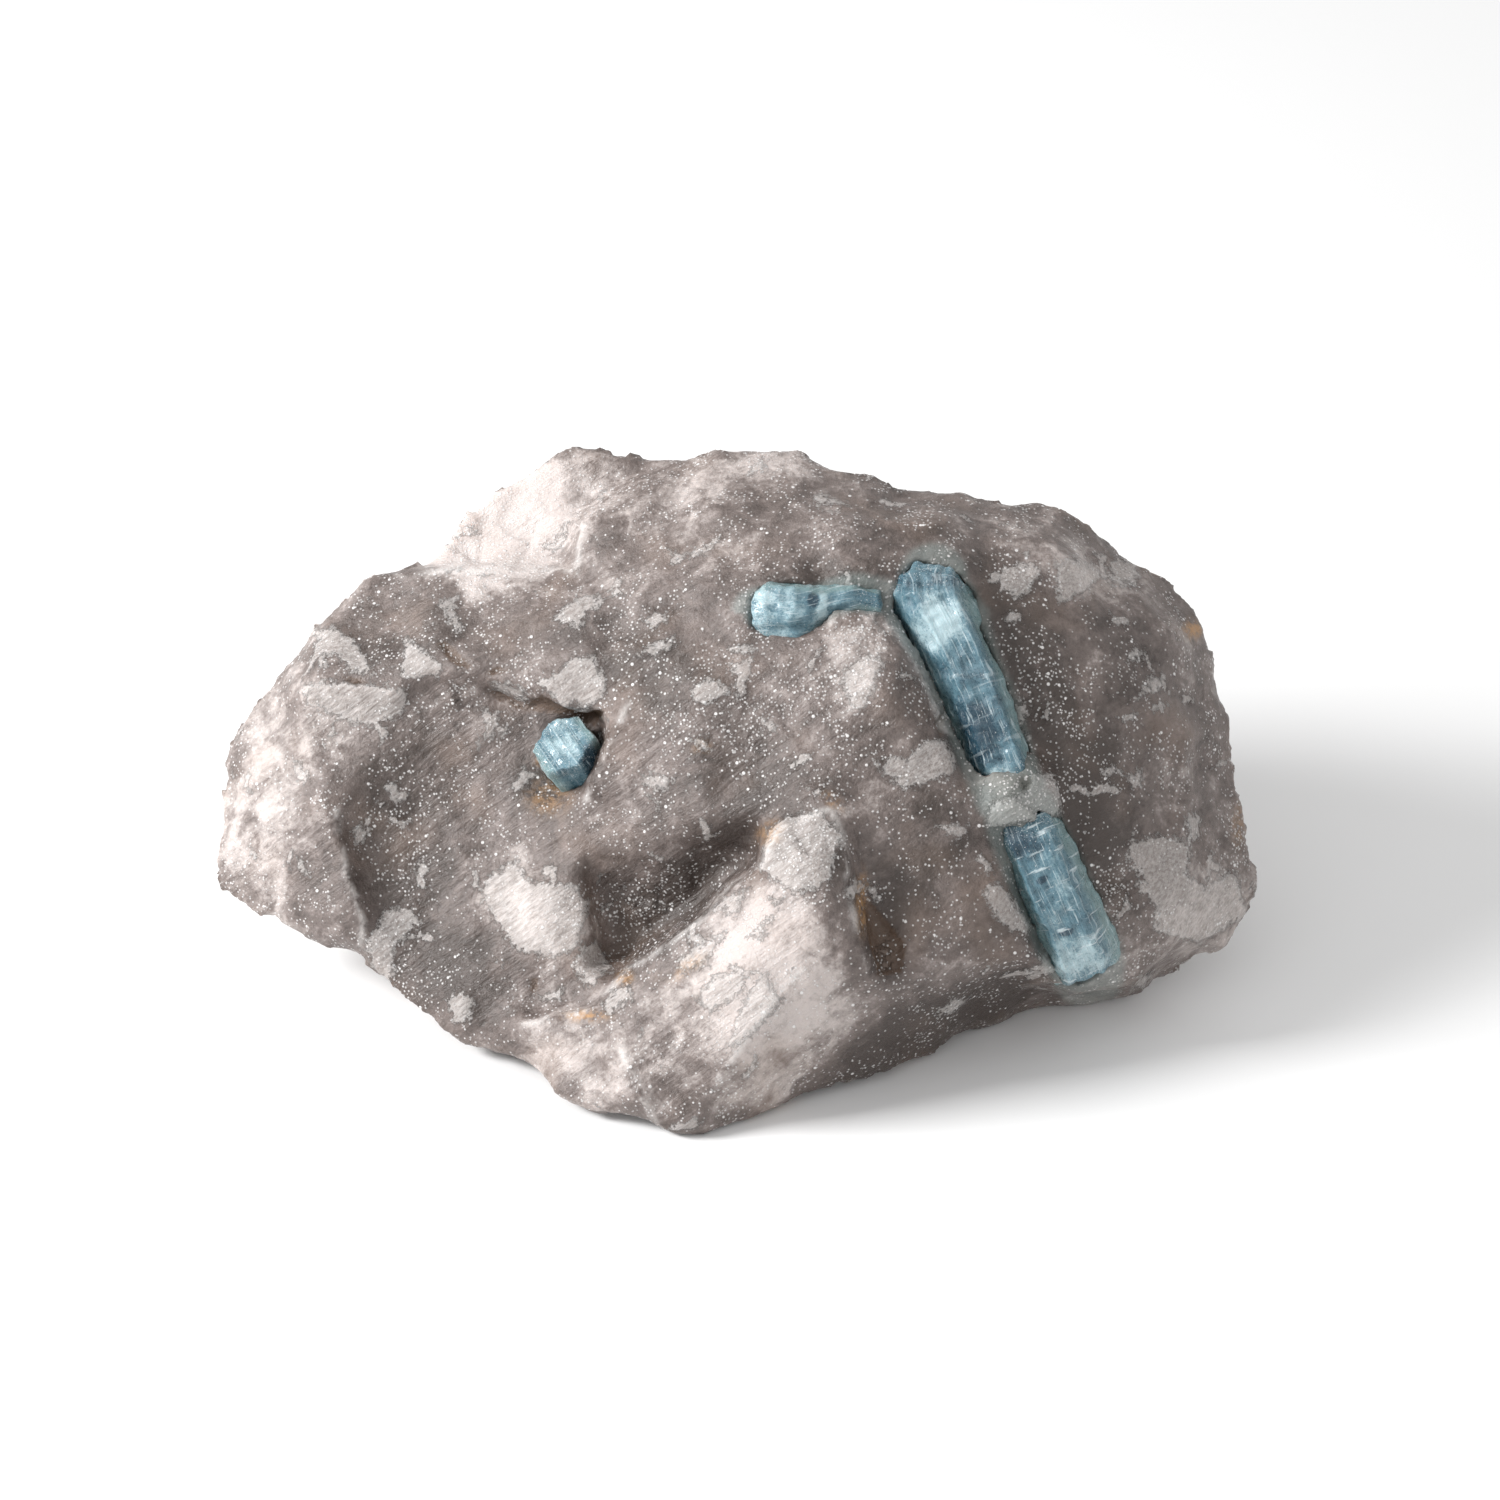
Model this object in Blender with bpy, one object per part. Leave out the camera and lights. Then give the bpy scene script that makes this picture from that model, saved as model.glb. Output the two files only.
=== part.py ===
"""Aquamarine crystals grown into a rough lump of smoky rose-grey quartz, lying on its flat base.

Metres in Blender, +Z up. The numbers below are millimetres and degrees. The broken front of the
stone is described as it looks from one viewing side, the way that a specimen is read: how far
across, how far up and how far towards the viewer each landmark lies.
"""

import math

import bmesh
import bpy
from mathutils import Vector
from mathutils.geometry import delaunay_2d_cdt

MM = 0.001

# The air left between the quartz and each crystal in its pocket
GAP = 0.3

# The viewing side: how steeply it looks down, from how far, and how high its middle is
VIEW_TILT = 35.0
VIEW_DISTANCE = 600.0
VIEW_HEIGHT = 30.0

# How the rough surface is made: grains of the first even mesh, rounds that soften its edges,
# shallow chipped scoops, small lumps, and the share of the grains' faces that stay as facets
GRAIN = 0.9
SOFTENING_ROUNDS = 3
SOFTENING = 0.5
SCOOP_SIZE = 13.0
SCOOP_RISE = 1.7
SCOOP_LEVEL = 0.25
LUMP_SIZE = 6.0
LUMP_RISE = 1.4
LUMP_LEVEL = 0.5
FACET_SHARE = 0.085

# A beryl crystal has six sides
SIDES = 6

# The block under the stone, whose top is the plane that the stone is cut flat on
BLOCK_SIZE = 200.0

QUARTZ_COLOUR = (0.33, 0.28, 0.26)
QUARTZ_ROUGHNESS = 0.4
AQUAMARINE_COLOUR = (0.20, 0.37, 0.43)
AQUAMARINE_ROUGHNESS = 0.25

# The stone's rim from the viewing side, clockwise from its left end
RIM = [
    (-75, -10.5, -8), (-74.5, -3, -9), (-73.3, 3.5, -10), (-70.5, 11, -10), (-66, 16, -10),
    (-62.5, 21, -10), (-58.5, 26, -10), (-53, 30.2, -10), (-47, 31.8, -11), (-43.5, 34, -12.5),
    (-39, 39.5, -13), (-34.5, 43.5, -13), (-31, 45.5, -13), (-28, 46.3, -12.5), (-23, 49.2, -12),
    (-19.5, 49, -11), (-17, 47.6, -10.5), (-12, 47.3, -10), (-7.5, 47.6, -9), (-1.5, 49.5, -7),
    (5, 49.2, -6), (9.5, 48.8, -5.5), (12.5, 46.9, -5), (20, 44.8, -4.5), (28, 43, -4.5),
    (34, 42, -5), (43, 41.2, -6), (48, 40, -7), (51.5, 37.2, -8), (57, 33, -8), (61, 31, -9),
    (65, 27.5, -10), (67.3, 24, -10), (68.5, 19, -10), (70, 14, -10), (71.7, 10, -9),
    (72, 5, -9), (73, -1, -9), (74.3, -8, -8), (75.2, -14.5, -8), (73.2, -19, -9),
    (71, -23.5, -10), (65, -25.5, -10), (60, -28, -9.5), (54, -29.8, -8.5), (47, -31.2, -7.5),
    (41, -32, -6.5), (36, -34, -3), (30, -37, 2.5), (24.5, -40, 8), (15, -42, 10),
    (9, -44.5, 11.5), (2, -47, 14), (-3, -49.2, 16.3), (-8, -49.7, 17), (-11, -48.5, 16.5),
    (-15, -47.3, 16), (-21, -46, 15), (-25, -43.8, 13), (-28, -41, 11), (-30, -39.5, 8),
    (-35, -37.5, 5), (-41, -35, 3), (-47, -31.5, 1), (-50, -28, 0), (-54, -23.5, -2),
    (-60, -22, -3), (-65, -19.5, -4.5), (-70, -18, -6), (-73.5, -15, -7),
]

# Broken edges of the front, and the feet of the steps beside them
EDGES = {
    "back ledge": [
        (-49, 30.2, -9), (-44, 31, -7), (-38, 31, -5), (-32, 31.3, -4), (-27, 31.6, -3),
        (-22.5, 31.4, -1),
    ],
    "back ledge foot": [
        (-43.2, 32.8, -12), (-40, 33, -11.5), (-35, 33, -10), (-29, 33.4, -9.5), (-25, 34, -8.5),
    ],
    "crown": [(-22.5, 31.4, -1), (-21.4, 38, -3), (-16.5, 41.5, -4), (-10.2, 45.2, -6)],
    "crown foot": [(-25, 34, -8.5), (-23.6, 38.8, -9), (-18, 43.2, -10), (-12.5, 46, -10)],
    "long ledge": [
        (-60, 15.5, 0), (-54, 15, 1.5), (-48, 15, 3), (-46, 17, 3.5), (-38, 17.2, 5),
        (-34, 15.8, 6), (-29, 15, 7.5), (-25.5, 12.8, 8.5), (-22, 11.4, 9), (-19, 12.2, 9.5),
        (-15.5, 13.2, 11),
    ],
    "long ledge foot": [
        (-57, 12.5, -1), (-50, 10, 0), (-46, 13.4, 0.5), (-38, 14.6, 1.5), (-34, 13.6, 1.5),
        (-29.5, 12.6, 2), (-26, 10.8, 2), (-22, 9.2, 1), (-19, 9.6, 2),
    ],
    "notch": [
        (-15.5, 13.2, 11), (-17.2, 9, 11.5), (-18.8, 5.5, 11), (-19.8, 2, 10), (-21.5, -1.5, 8),
    ],
    "notch foot": [(-19, 9.6, 2), (-20.4, 5.5, 2), (-21.8, 1.8, 3)],
    "spine": [
        (-21.5, -1.5, 8), (-22, -8, 8), (-21.2, -14, 8.5), (-20.8, -20, 8.5), (-22, -25, 9),
        (-20, -29, 10.5),
    ],
    "hollow": [
        (-19.4, -14, 5), (-18.8, -20, 3.5), (-17.5, -24.2, 3.5), (-14.4, -23.8, 4),
        (-10, -20.4, 4), (-5.5, -16.8, 5), (-1, -12, 7.5), (2.8, -8.4, 12), (5.5, -4, 17),
    ],
    "front lump edge": [
        (-30, -33.6, 11.5), (-27, -33, 12), (-24, -32.5, 12), (-20, -31.3, 12.5),
        (-17.5, -28, 13), (-15, -25.8, 14), (-10, -22.5, 16), (-5, -18.9, 18), (0, -14, 20),
        (4, -11.3, 21), (5.2, -7.2, 21.5), (9, -4.6, 22), (13, -2.8, 22.5),
    ],
    "front lump foot": [(-30.5, -31.8, 7), (-27, -31.2, 7.5), (-23.5, -30.6, 8.5)],
    "front ridge": [
        (13, -2.8, 22.5), (15.5, -6, 24), (16.5, -12, 25), (17.8, -18, 25.5), (19, -24, 25),
        (20, -27.5, 23.5),
    ],
    "crevice": [(18, -9, 21.5), (19.2, -14.5, 20.5), (20.6, -20, 20), (22, -25, 20.5)],
    "keel": [
        (13, -24.5, 25.5), (9, -27.5, 25.3), (6, -30.3, 25), (2, -35, 23.8), (-1, -39, 22),
        (-2.5, -42, 20.5),
    ],
    "prow": [(-10.5, -47.3, 18), (-13.5, -44.3, 19), (-14.5, -41, 19), (-16, -37.5, 18)],
    "belly": [
        (20, -27.5, 23.5), (26, -26.6, 21), (33, -25.4, 19.5), (40, -24, 17), (44.5, -24.8, 15),
        (50, -28, 9), (56, -27.6, 4),
    ],
    "left lobe edge": [
        (-58.5, -2, 3), (-56.5, -8, 4), (-54.8, -14, 4), (-53, -18, 3), (-53.4, -21.6, 1),
    ],
    "left lobe foot": [(-53.2, -9, -0.5), (-52, -14, 0), (-50.6, -18, 0.5)],
    "bulge beside the long crystal": [
        (21.5, 24.3, 15.5), (24.6, 19.5, 17), (27.3, 14, 17.8), (29.8, 8, 18), (32.2, 2, 18),
        (35, -5, 18), (38.3, -12, 17.6), (41, -18, 17), (43.6, -23.6, 15),
    ],
    "groove left of the long crystal": [
        (23.3, 24.6, 12.8), (26.8, 20, 13.6), (29.2, 14, 14.4), (31.6, 8, 14.6), (34, 2, 14.8),
    ],
    "groove left of its lower part": [
        (38.2, -7, 14.6), (40.4, -12, 14.3), (43, -18, 13.5), (45.4, -24, 11),
    ],
    "groove right of the long crystal": [
        (35.8, 26, 10.5), (37.6, 21, 12), (40.6, 14, 12.5), (42.8, 8, 12.8), (45.3, 4, 13),
    ],
    "groove right of its lower part": [
        (48.2, -7, 13), (50.6, -12.5, 12.5), (53.4, -18.5, 11), (56.2, -24.4, 6.5),
    ],
    "bed of the thin vein": [(14.6, 27, 12.2), (18, 27.8, 12.4), (21.2, 27.1, 11.8)],
    "quartz band over the break": [
        (36.6, -0.5, 17.4), (38.2, -3.8, 18.6), (41.6, -3.4, 19.6), (44.6, -3.2, 18.2),
        (46.6, -1, 15.4),
    ],
    "top of the band": [
        (37.8, 1.5, 17.8), (40, 0.6, 19.5), (42.6, 1.6, 18.6), (44.6, 2.2, 16.2),
    ],
}

# Loose landmarks of the front, between those edges
FRONT = [
    # Left lobe
    (-68, 5, -4), (-66, -4, -1.5), (-62, 9, -1), (-60, 3, 1), (-64, -12, -1), (-69, -11, -4),
    (-58, -18, 1.5), (-62, -7, 1),
    # Flat between the two ledges
    (-57, 22, -5), (-52, 26, -6), (-50, 20, -1), (-45, 27, -3), (-38, 26, -0.5), (-30, 26, 2),
    (-24, 26, 3.5), (-40, 21, 3), (-30, 20, 5.5), (-22, 20, 7),
    # Pale facet behind the back ledge
    (-37, 37, -12.5), (-31, 37, -11), (-31, 42, -12.5), (-25, 43, -11.5), (-21, 46, -11),
    # Top
    (-14, 38, 0), (-5, 44, -2.5), (5, 45, -1.5), (12, 43, 1), (2, 40, 3), (-5, 36, 5),
    (10, 36, 8), (20, 38, 7), (30, 38, 6), (40, 37, 3.5), (48, 34, 3.5), (-12, 31, 5),
    (-17, 27, 5), (0, 30, 10), (8, 31, 12), (20, 32, 12.5), (29, 33, 11),
    # Middle
    (-18, 17, 8.5), (-12, 20, 10), (-5, 26, 10.5), (-10, 12, 13), (0, 18, 14.5), (8, 20, 16),
    (5, 8, 17), (-5, 5, 15.5), (-12, 3, 13), (12, 12, 18.5), (18, 18, 19), (14, 26, 14.5),
    (0, -4, 16), (8, 2, 19), (-8, -6, 12), (-14, -7, 10.5), (-12, -14, 6),
    # Left valley
    (-50, 4, 0.5), (-42, 8, 0.5), (-40, 0, 0), (-33, 4, 2), (-47, -5, -1), (-36, -6, 1),
    (-30, -3, 4), (-42, -14, 0.5), (-30, -10, 4), (-33, -17, 4), (-27, -14, 7.5),
    (-26, -22, 8), (-44, -22, 1), (-36, -26, 4), (-30, -27, 6), (-42, -30, 3.5),
    (-35, -33, 6), (-48, -26, 1),
    # Front lump
    (-26, -37, 11.5), (-21, -38, 14.5), (-20, -43, 15.5), (-10, -41, 18.5), (-9, -35, 18.5),
    (-15, -33, 16), (-5, -36, 21), (-5, -27, 21), (2, -24, 24), (5, -16, 24.5),
    (10, -10, 25), (11, -18, 26), (-12, -28, 17.5), (-4, -45, 18.5), (3, -42, 19),
    (8, -36, 20.5), (15, -31, 21.5),
    # Broad right face, and the underside below it
    (16, 4, 20.5), (20, -4, 21.5), (24, 10, 20), (28, 2, 20), (26, -8, 21.5), (33, -8, 20),
    (26, -17, 21), (34, -18, 19.5), (39, 29, 9.5), (44, 20, 12.5), (47, 10, 13.5),
    (50, 2, 14), (54, -8, 13), (57, -20, 10), (50, 28, 6), (55, 20, 8), (52, 10, 11.5),
    (60, 10, 7), (60, 0, 8), (66, 8, 2), (66, -6, 3), (62, -14, 6.5), (69, -14, 0),
    (66, -21, 0), (60, -24.5, 3), (62, 22, 1), (57, 29, -1),
    (30, -31.5, 12), (20, -36, 14), (12, -40, 15.5), (41, -28.5, 4),
]

# Landmarks of the back and the underside, in the stone's own frame: right, back, up
BACK = [
    (-8, -39, -1), (-23, -29, -1), (-38, -10, -1), (-36, 12, -1), (-18, 30, -1), (8, 34, -1),
    (30, 26, -1), (42, 8, -1), (40, -9, -1), (22, -24, -1), (0, -10, -1), (0, 15, -1),
    (-60, -2, 9), (-62, 12, 11), (-46, -12, 5), (-48, 8, 3), (62, -2, 8), (60, 14, 9),
    (-42, 30, 11), (-18, 40, 13), (10, 44, 12), (38, 35, 12), (57, 24, 18),
    (-36, 41, 44), (-26, 44, 49), (-12, 44, 54), (26, 40, 50), (40, 37, 42), (-66, 13, 26),
    (-67, 4, 18), (64, 17, 30), (67, 6, 22), (66, -6, 14), (0, 42, 18), (24, 41, 18),
]

# Broken edges of the back, in the same frame
BACK_EDGES = {
    "shelf": [(-45, 36, 33), (-30, 44, 34), (-12, 47, 35), (8, 46.5, 32), (30, 42, 34)],
    "shelf foot": [(-42, 33.5, 27), (-28, 40, 28), (-12, 43, 28.5), (8, 43, 26), (28, 39.5, 28)],
    "rib": [(9, 39.5, 61), (5, 44, 52), (8, 46.5, 32)],
    "right break": [(55, 27.5, 42), (53, 32, 31), (48, 34.5, 19), (43, 31, 6)],
    "left break": [(-58, 21, 37), (-54, 27, 27), (-47, 29, 15), (-38, 28, 4)],
}

# Each crystal: how far it is turned about its length, and its stations. A station says how far
# across, up and towards the viewer the middle is, and how far out the corners are
CRYSTALS = {
    "long_crystal_upper": (-8, [
        (28.8, 30.6, 7.6, 4.2), (28.4, 28.4, 8.6, 5.9), (28.6, 26, 9.4, 6.5),
        (29.8, 23.6, 11, 5.5), (31.8, 20, 12.2, 5), (34.9, 13, 12.8, 4.9),
        (38.1, 4, 13.2, 4.6), (39.5, 0.2, 13.2, 4.4),
    ]),
    "long_crystal_lower": (-5, [
        (41.6, -3.8, 13.4, 4.5), (42.8, -7, 13.3, 4.8), (45.2, -12.4, 12.8, 4.9),
        (48, -18.8, 11.4, 4.9), (50.2, -24, 9, 5), (51, -26.4, 7.4, 4.4),
    ]),
    "side_crystal": (20, [
        (3.4, 25.6, 11.2, 2.8), (5.4, 25.7, 11.6, 4), (9.6, 25.4, 12.2, 4.3),
        (12.4, 26, 12.6, 3), (14.6, 27, 13, 1.8), (18, 27.7, 13, 1.4), (21.4, 27, 12.4, 1.1),
    ]),
    "small_crystal": (30, [
        (-24.5, 6.8, 6.6, 4.2), (-21.8, 3.4, 1.6, 4.3), (-18.5, -0.6, -4.6, 4.3),
    ]),
}

SINE = math.sin(math.radians(VIEW_TILT))
COSINE = math.cos(math.radians(VIEW_TILT))
TO_VIEWER = Vector((0.0, -COSINE, SINE))


def seen(across, up, towards):
    """The place of a point that is given as it looks from the viewing side."""
    near = (VIEW_DISTANCE - towards) / VIEW_DISTANCE
    level = Vector((across * near, up * near * SINE, up * near * COSINE + VIEW_HEIGHT))
    return level + TO_VIEWER * towards


def looks(point):
    """How far across and up a place on the stone looks from the viewing side."""
    raised = point - Vector((0.0, 0.0, VIEW_HEIGHT))
    near = (VIEW_DISTANCE - raised.dot(TO_VIEWER)) / VIEW_DISTANCE
    return Vector((raised.x / near, (raised.y * SINE + raised.z * COSINE) / near))


def clear_scene():
    for item in list(bpy.data.objects):
        bpy.data.objects.remove(item)


def mineral(name, colour, roughness):
    material = bpy.data.materials.new(name)
    material.use_nodes = True
    shader = material.node_tree.nodes["Principled BSDF"]
    shader.inputs["Base Color"].default_value = (*colour, 1.0)
    shader.inputs["Roughness"].default_value = roughness
    shader.inputs["Metallic"].default_value = 0.0
    return material


def add_object(name, body):
    """An object in metres, from a body in millimetres."""
    mesh = bpy.data.meshes.new(name)
    body.to_mesh(mesh)
    body.free()
    for corner in mesh.vertices:
        corner.co *= MM
    item = bpy.data.objects.new(name, mesh)
    bpy.context.scene.collection.objects.link(item)
    return item


def cut(lump, name, body):
    """Takes a body out of the lump."""
    cutter = add_object(name, body)
    cutter.hide_render = True
    cutter.display_type = "WIRE"
    step = lump.modifiers.new(name, "BOOLEAN")
    step.operation = "DIFFERENCE"
    step.object = cutter


def add_side(body, rim, points, edges):
    """Triangles that fill the rim's outline, through loose points and along edges."""
    flat = [looks(corner.co) for corner in rim]
    corners = list(rim)
    numbers = {}
    creases = []
    for line in [[point] for point in points] + edges:
        passed = []
        for place in line:
            key = place.copy().freeze()
            if key not in numbers:
                numbers[key] = len(flat)
                flat.append(looks(place))
                corners.append(body.verts.new(place))
            passed.append(numbers[key])
        creases += zip(passed, passed[1:])
    outline = list(range(len(rim)))
    _, _, faces, origins, _, _ = delaunay_2d_cdt(flat, creases, [outline], 1, 1e-5)
    for face in faces:
        body.faces.new([corners[origins[corner][0]] for corner in face])


def rough_form():
    """The stone's main facets: a front and a back that meet along the rim."""
    body = bmesh.new()
    rim = [body.verts.new(seen(*landmark)) for landmark in RIM]
    front = [seen(*landmark) for landmark in FRONT]
    front_edges = [[seen(*landmark) for landmark in edge] for edge in EDGES.values()]
    add_side(body, rim, front, front_edges)
    back = [Vector(landmark) for landmark in BACK]
    back_edges = [[Vector(landmark) for landmark in edge] for edge in BACK_EDGES.values()]
    add_side(body, rim, back, back_edges)
    bmesh.ops.recalc_face_normals(body, faces=body.faces)
    return body


def add_relief(lump, name, kind, size, rise, level):
    """Raises and sinks the surface by a pattern with cells of about the given size."""
    pattern = bpy.data.textures.new(name, kind)
    pattern.noise_scale = size * MM
    step = lump.modifiers.new(name, "DISPLACE")
    step.texture = pattern
    step.texture_coords = "LOCAL"
    step.mid_level = level
    step.strength = rise * MM
    return pattern


def quartz_lump():
    lump = add_object("quartz", rough_form())
    lump.data.materials.append(mineral("smoky rose quartz", QUARTZ_COLOUR, QUARTZ_ROUGHNESS))
    grains = lump.modifiers.new("even grains", "REMESH")
    grains.mode = "VOXEL"
    grains.voxel_size = GRAIN * MM
    soft = lump.modifiers.new("softened edges", "SMOOTH")
    soft.factor = SOFTENING
    soft.iterations = SOFTENING_ROUNDS
    scoops = add_relief(lump, "scoops", "VORONOI", SCOOP_SIZE, SCOOP_RISE, SCOOP_LEVEL)
    scoops.distance_metric = "DISTANCE_SQUARED"
    add_relief(lump, "lumps", "CLOUDS", LUMP_SIZE, LUMP_RISE, LUMP_LEVEL)
    facets = lump.modifiers.new("facets", "DECIMATE")
    facets.ratio = FACET_SHARE
    return lump


def block_below():
    """A block whose top is the plane that the stone rests on."""
    body = bmesh.new()
    bmesh.ops.create_cube(body, size=BLOCK_SIZE)
    bmesh.ops.translate(body, verts=body.verts, vec=(0.0, 0.0, -BLOCK_SIZE / 2))
    return body


def ring_of_corners(body, centre, along, turn, reach):
    side = along.cross(TO_VIEWER).normalized()
    front = side.cross(along)
    corners = []
    for number in range(SIDES):
        angle = math.radians(turn) + number * math.tau / SIDES
        out = side * math.cos(angle) + front * math.sin(angle)
        corners.append(body.verts.new(centre + out * reach))
    return corners


def six_sided_crystal(turn, stations, spare=0.0):
    """A crystal through its stations, with its faces moved out by the spare distance."""
    body = bmesh.new()
    centres = [seen(*station[:3]) for station in stations]
    directions = [after - before for before, after in zip(centres, centres[1:])]
    alongs = [before + after for before, after in zip(directions, directions[1:])]
    alongs = [along.normalized() for along in [directions[0], *alongs, directions[-1]]]
    centres[0] -= alongs[0] * spare
    centres[-1] += alongs[-1] * spare
    rings = []
    for centre, along, station in zip(centres, alongs, stations):
        reach = station[3] + spare / math.cos(math.pi / SIDES)
        rings.append(ring_of_corners(body, centre, along, turn, reach))
    for ring, following in zip(rings, rings[1:]):
        for number in range(SIDES):
            beside = (number + 1) % SIDES
            body.faces.new((ring[number], ring[beside], following[beside], following[number]))
    body.faces.new(rings[0])
    body.faces.new(rings[-1])
    bmesh.ops.triangulate(body, faces=body.faces)
    bmesh.ops.recalc_face_normals(body, faces=body.faces)
    return body


def centre_over_origin(lump):
    """Moves every object so that the origin is under the middle of the lump's outer box."""
    bpy.context.view_layer.update()
    outer = lump.evaluated_get(bpy.context.evaluated_depsgraph_get())
    corners = [Vector(corner) for corner in outer.bound_box]
    middle = sum(corners, Vector()) / len(corners)
    for item in bpy.data.objects:
        item.location = (-middle.x, -middle.y, 0.0)


clear_scene()
quartz = quartz_lump()
cut(quartz, "resting plane", block_below())
for name, (turn, stations) in CRYSTALS.items():
    crystal = add_object(name, six_sided_crystal(turn, stations))
    crystal.data.materials.append(mineral(name, AQUAMARINE_COLOUR, AQUAMARINE_ROUGHNESS))
    cut(quartz, name + " pocket", six_sided_crystal(turn, stations, GAP))
centre_over_origin(quartz)
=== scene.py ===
"""Looks of an aquamarine in quartz specimen: smoky rose quartz with beryl crystals grown into it.

Lengths are millimetres unless a name says metres. Landmarks of the broken front are given as they
look from the viewing side: how far across, how far up and how far towards the viewer.
"""

import math

import bpy
import numpy as np
from mathutils import Matrix, Vector, kdtree, noise


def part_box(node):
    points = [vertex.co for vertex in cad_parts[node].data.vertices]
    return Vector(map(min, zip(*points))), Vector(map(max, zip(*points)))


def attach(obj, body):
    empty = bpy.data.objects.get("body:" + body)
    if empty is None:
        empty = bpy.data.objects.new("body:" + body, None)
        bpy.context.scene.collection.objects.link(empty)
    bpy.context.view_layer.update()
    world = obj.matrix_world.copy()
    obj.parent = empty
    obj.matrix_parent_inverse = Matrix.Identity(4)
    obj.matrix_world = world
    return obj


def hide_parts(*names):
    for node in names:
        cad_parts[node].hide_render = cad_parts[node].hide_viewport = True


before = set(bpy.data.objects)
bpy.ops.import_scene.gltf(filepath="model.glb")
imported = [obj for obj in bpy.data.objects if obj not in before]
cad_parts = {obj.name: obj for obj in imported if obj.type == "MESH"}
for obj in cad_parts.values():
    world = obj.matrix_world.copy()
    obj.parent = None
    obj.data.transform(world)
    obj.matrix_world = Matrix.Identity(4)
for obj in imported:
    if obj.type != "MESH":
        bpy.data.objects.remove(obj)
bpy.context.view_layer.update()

MM = 0.001

# The viewing side: its tilt down, its distance, and the part of the stone that it looks at
VIEW_TILT = math.radians(35.0)
VIEW_DISTANCE = 600.0
VIEW_HEIGHT = 30.0
PHOTO_WIDTH_AT_STONE = 215.2
PHOTO_MIDDLE = (2.44, 5.74)
SENSOR = 36.0

RIGHT = np.array((1.0, 0.0, 0.0))
UP = np.array((0.0, math.sin(VIEW_TILT), math.cos(VIEW_TILT)))
TO_VIEWER = np.array((0.0, -math.cos(VIEW_TILT), math.sin(VIEW_TILT)))

# Skins: sides of a prism, fineness of the two remeshes, how far a crystal swells over the thin gap
# that the solids leave round it, and how close loose corners are merged
SIDES = 6
QUARTZ_GRAIN = 0.63
CRYSTAL_GRAIN = 0.3
CRYSTAL_SWELL = 0.75
MERGE_METRES = 1e-5

# Depth inside an outline: how far out it is still measured, and the value beyond that
DEPTH_REACH = 3.0
FAR_OUTSIDE = -9.0

# The front: how far the skin must turn to the viewer to fade in, and to count as in front
FACING_STARTS = 0.02
FACING_FULL = 0.25
IN_FRONT = 0.3

# Scattered scales: how many, their sizes, and the waves of their rims as (lobes, height)
SCALE_COUNT = 900
SCALE_SEED = 4
SMALLEST_SCALE = 0.5
SCALE_SPREAD = 3.2
SLIMMEST_SCALE = 0.45
RIM_WAVES = ((2, 0.22), (3, 0.16), (5, 0.1))
RIM_SLOPE = 0.8
SHRUNK_IN_FRONT = 1.5
SHRUNK_BEHIND = 0.4

# Relief of the quartz: the size of its blocks, lumps and grit, and how far each kind stands out
BLOCK_SIZE = 5.0
BLOCK_RISE = 0.16
LUMP_SIZE = 2.6
LUMP_RISE = 0.22
GRIT_SIZE = 1.1
GRIT_RISE = 0.10
SCALE_RISE = 0.20
HOLLOW_DROP = 0.9
EDGE_WIDTH = 0.45
EDGE_RISE = 0.12
LEAST_BROKEN = 0.12
LEAST_LUMPY = 0.25

# Relief of the crystals: flutes along them, small dents, broad swells, and what is worn off
FLUTES_ALONG = 0.06
FLUTES_AROUND = 1.1
FLUTE_DEPTH = 0.26
DENT_SIZE = 1.4
DENT_DEPTH = 0.28
SWELL_SIZE = 4.0
SWELL_DEPTH = 0.45
WORN_OFF = 0.1

# The greenish halo in the quartz beside the crystals
HALO_CRYSTALS = ("long_crystal_upper", "long_crystal_lower", "side_crystal")
HALO_WIDTH = 1.4

# Colours of the quartz
SMOKE = (0.062, 0.046, 0.039)
ROSE_GREY = (0.185, 0.149, 0.136)
MILK_WHITE = (0.60, 0.535, 0.51)
TAN = (0.33, 0.235, 0.185)
SCALE_GREY = (0.36, 0.32, 0.30)
SCALE_WHITE = (0.70, 0.66, 0.64)
RIM_WHITE = (0.82, 0.79, 0.77)
HOLLOW_BROWN_AND_PAINTED_SHADE = (0.115, 0.072, 0.048)
EDGE_WHITE = (0.80, 0.77, 0.75)
RUST = (0.50, 0.27, 0.10)
HALO_GREEN = (0.26, 0.33, 0.32)
SPECK_AND_PAINTED_GLINT_WHITE = (0.86, 0.84, 0.83)

# Colours of the aquamarine
DEEP_BLUE = (0.016, 0.055, 0.085)
SEA_BLUE = (0.098, 0.20, 0.25)
ICE_BLUE = (0.42, 0.56, 0.60)
MARGIN_GREEN = (0.23, 0.33, 0.32)
SCRATCH_BLUE = (0.62, 0.72, 0.75)
CRACK_BLUE = (0.70, 0.79, 0.82)
GLINT_WHITE = (0.82, 0.88, 0.90)

# Finishes: the lie of the quartz's streaks, how far light soaks in, and the crisp part of a speck
STREAK_TURN = (0.0, math.radians(-38.0), math.radians(8.0))
STREAK_STRETCH = (6.0, 1.0, 1.0)
QUARTZ_SOAK_METRES = 0.0025
AQUAMARINE_SOAK_METRES = 0.002
SPECK_SIZE = 0.34
SPECK_CORE = 0.55

# The studio: a white floor just under the stone, white all round, and a window on the left
FLOOR_METRES = 6.0
FLOOR_DROP_METRES = 0.0002
STUDIO_GLOW = 0.74
WINDOW_METRES = 0.22
WINDOW_WATTS = 7.0
WINDOW_PLACE_METRES = (-0.62, -0.08, 0.42)
WINDOW_AIM_METRES = (0.0, 0.0, 0.02)

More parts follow.
